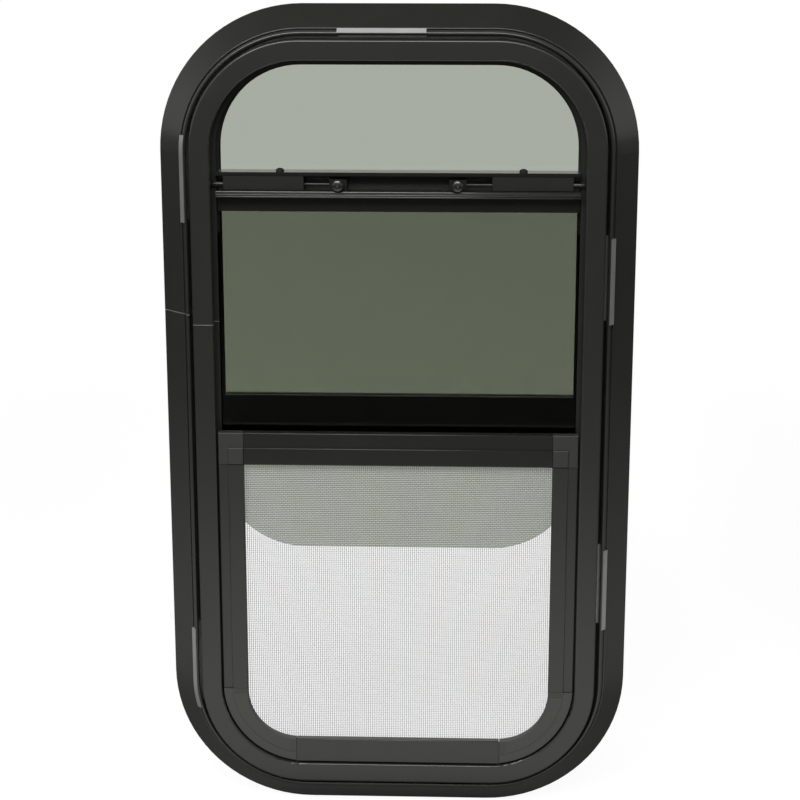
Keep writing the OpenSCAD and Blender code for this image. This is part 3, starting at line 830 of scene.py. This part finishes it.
class WINDOW_OT_studio(bpy.types.Operator):
    """White backdrop, a floor with a painted pool of light round the window's foot, one softbox and the
    photograph's angle
    """

    bl_idname = "window.studio"
    bl_label = "Studio"

    def execute(self, context):
        studio, scene = context.scene.window_studio, context.scene
        self.floor(CAD_BOX[0].z)
        self.world(scene, studio.sky_light)
        self.softbox(Vector(studio.lamp_place), studio.lamp_power)
        camera = bpy.data.objects.new("camera", bpy.data.cameras.new("camera"))
        camera.data.sensor_width = SENSOR_WIDTH
        camera.data.lens = studio.lens
        camera.location = studio.camera_place
        camera.rotation_euler = (math.radians(90) - studio.camera_down, 0, studio.camera_turn)
        scene.collection.objects.link(camera)
        scene.camera = camera
        scene.view_settings.view_transform = "Standard"
        return {"FINISHED"}

    def floor(self, height):
        """White where it is seen. Only a painted pool of light throws light back, and the rest hardly any."""
        mesh = bpy.data.meshes.new("floor")
        form = bmesh.new()
        bmesh.ops.create_circle(form, cap_ends=True, segments=96, radius=FLOOR_RADIUS)
        form.to_mesh(mesh)
        form.free()
        floor = bpy.data.objects.new("floor", mesh)
        floor.location.z = height - FLOOR_GAP
        bpy.context.scene.collection.objects.link(floor)
        material, tree, surface = new_material("floor_painted_light_pool")
        light_pool, aside = self.light_pool_masks(tree)
        tint = two_tone(tree, light_pool, FLOOR_OFF_POOL, PAINTED_LIGHT_POOL)
        tree.links.new(tint, surface.inputs["Base Color"])
        grain = placed_group(tree, fine_grain_group(), Grain_Scale=120.0, Tone_Scale=0.8)
        rough = remap(tree, grain.outputs["Tone"], 0.0, 1.0, *FLOOR_ROUGHNESS)
        tree.links.new(rough, surface.inputs["Roughness"])
        surface.inputs["Specular IOR Level"].default_value = 0.0
        surface.inputs["Emission Color"].default_value = (1, 1, 1, 1)
        path = tree.nodes.new("ShaderNodeLightPath")
        level = remap(tree, light_pool, 0.0, 1.0, SEEN_OFF_POOL, SEEN_ON_POOL)
        direct = math_node(tree, "MULTIPLY", seen_directly(tree, path), level)
        # Painted reflection: the pool also glows for glossy rays, a little more beside the window
        reflected_glow = remap(tree, aside, *BESIDE_START_X, PAINTED_REFLECTION_IN_FRONT, PAINTED_REFLECTION_BESIDE)
        reflected_glow = math_node(tree, "MULTIPLY", light_pool, reflected_glow)
        mirrored = math_node(tree, "MULTIPLY", path.outputs["Is Glossy Ray"], reflected_glow)
        glow = math_node(tree, "ADD", direct, mirrored)
        tree.links.new(glow, surface.inputs["Emission Strength"])
        mesh.materials.append(material)

    @staticmethod
    def light_pool_masks(tree):
        """How much painted light pool lies at a floor point, dimmed under the window, and how far aside it is.
        """
        place = tree.nodes.new("ShaderNodeNewGeometry").outputs["Position"]
        away = tree.nodes.new("ShaderNodeVectorMath")
        away.operation = "LENGTH"
        tree.links.new(place, away.inputs[0])
        distance = away.outputs["Value"]
        across, along, _ = axes(tree, place)
        aside = without_sign(tree, across)
        # Painted shadow: the pool drops to a small share right under the window
        front = remap(tree, along, *POOL_START_Y, 1.0, PAINTED_SHADOW_UNDER_WINDOW)
        front = math_node(tree, "MULTIPLY", front, remap(tree, distance, *POOL_FADE, 1.0, 0.0))
        beside = remap(tree, aside, *BESIDE_START_X, 0.0, 1.0)
        fade = remap(tree, distance, *BESIDE_FADE, POOL_BESIDE_SHARE, 0.0)
        beside = math_node(tree, "MULTIPLY", beside, fade)
        return math_node(tree, "MAXIMUM", front, beside), aside

    @staticmethod
    def world(scene, strength):
        """White where seen, or mirrored from behind the window. Elsewhere a dim light from the sides."""
        world = bpy.data.worlds.new("white_backdrop")
        scene.world = world
        world.use_nodes = True
        tree = world.node_tree
        back = tree.nodes["Background"]
        back.inputs["Color"].default_value = (1, 1, 1, 1)
        path = tree.nodes.new("ShaderNodeLightPath")
        direction = tree.nodes.new("ShaderNodeTexCoord").outputs["Generated"]
        across, along, up = axes(tree, direction)
        behind = remap(tree, along, *BEHIND_WINDOW_Y, 0.0, 1.0)
        mirrored = math_node(tree, "MULTIPLY", path.outputs["Is Glossy Ray"], behind)
        white = math_node(tree, "ADD", seen_directly(tree, path), mirrored, clamp=True)
        sides = remap(tree, without_sign(tree, across), *TO_THE_SIDE_X, FRONT_SHARE, 1.0)
        height = remap(tree, up, *UPWARD_Z, strength, strength * OVERHEAD_SHARE)
        fill = math_node(tree, "MULTIPLY", sides, height)
        tree.links.new(math_node(tree, "MAXIMUM", white, fill), back.inputs["Strength"])

    @staticmethod
    def softbox(place, power):
        lamp = bpy.data.lights.new("softbox", "AREA")
        lamp.shape = "RECTANGLE"
        lamp.size, lamp.size_y = SOFTBOX_SIZE
        lamp.energy = power
        holder = bpy.data.objects.new("softbox", lamp)
        holder.location = place
        holder.rotation_euler = (SOFTBOX_AIM - place).to_track_quat("-Z", "Y").to_euler()
        bpy.context.scene.collection.objects.link(holder)


# Panel and registration

OPERATORS = [
    WINDOW_OT_frame_coat,
    WINDOW_OT_ring_clips,
    WINDOW_OT_glass,
    WINDOW_OT_rubber,
    WINDOW_OT_sash_parts,
    WINDOW_OT_screen_rails,
    WINDOW_OT_insect_mesh,
    WINDOW_OT_pile_strips,
    WINDOW_OT_studio,
]
GROUPS = {"window_sizes": WindowSizes, "window_colours": WindowColours, "window_studio": WindowStudio}


class WINDOW_PT_tools(bpy.types.Panel):
    """Lists what the scene adds to the window"""

    bl_label = "Caravan window"
    bl_idname = "WINDOW_PT_tools"
    bl_space_type = "VIEW_3D"
    bl_region_type = "UI"
    bl_category = "Window"

    def draw(self, context):
        for group in GROUPS:
            box = self.layout.box()
            settings = getattr(context.scene, group)
            for name in settings.__annotations__:
                box.prop(settings, name)
        for operator in OPERATORS:
            self.layout.operator(operator.bl_idname)


def register():
    for cls in (*GROUPS.values(), *OPERATORS, WINDOW_PT_tools):
        bpy.utils.register_class(cls)
    for name, cls in GROUPS.items():
        setattr(bpy.types.Scene, name, bpy.props.PointerProperty(type=cls))


def unregister():
    for name in GROUPS:
        delattr(bpy.types.Scene, name)
    for cls in reversed((*GROUPS.values(), *OPERATORS, WINDOW_PT_tools)):
        bpy.utils.unregister_class(cls)


def main():
    register()
    for operator in OPERATORS:
        area, name = operator.bl_idname.split(".")
        getattr(getattr(bpy.ops, area), name)()


if __name__ == "__main__":
    main()
